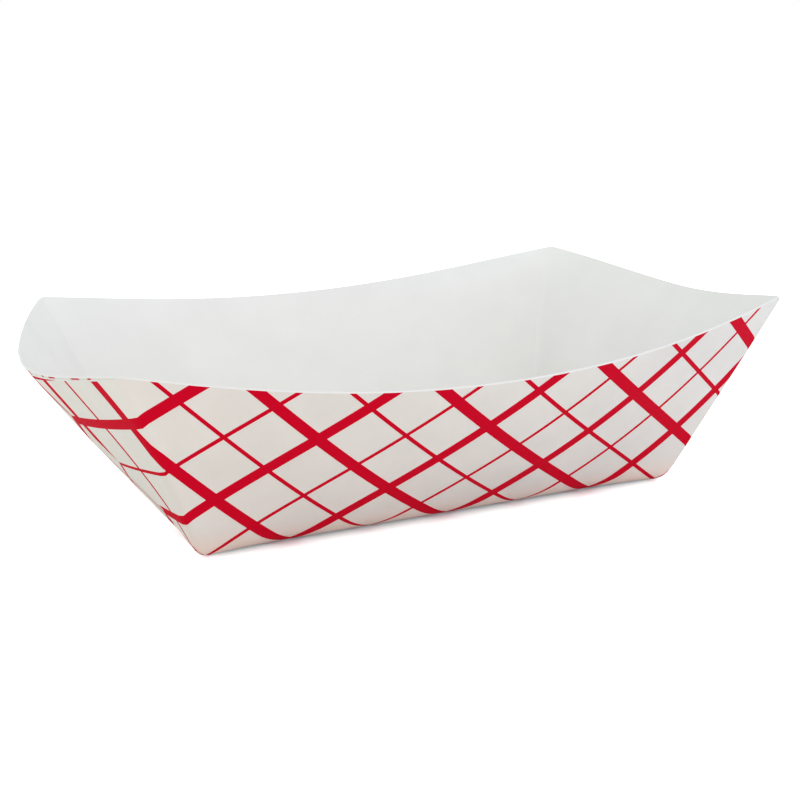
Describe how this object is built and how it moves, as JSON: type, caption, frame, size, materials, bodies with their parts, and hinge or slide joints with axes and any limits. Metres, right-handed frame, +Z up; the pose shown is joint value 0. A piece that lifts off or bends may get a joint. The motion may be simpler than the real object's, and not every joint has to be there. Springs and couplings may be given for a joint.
{
  "type": "paper food tray",
  "caption": "Open paperboard food tray folded from one sheet, with outward-leaning sagging sides, pinched corners held by glued ears, and a red plaid print outside.",
  "frame": {"origin": "centre of the flat base, on the surface that the tray stands on", "axes": "+X along the tray's long side, +Y along its short side, +Z up, out of its open top"},
  "size_m": [0.1876, 0.1458, 0.05],
  "materials": {
    "paperboard": "matt, red plaid print on the outer face, plain white inside"
  },
  "bodies": {
    "root": {"tray": "paperboard"}
  },
  "joints": []
}
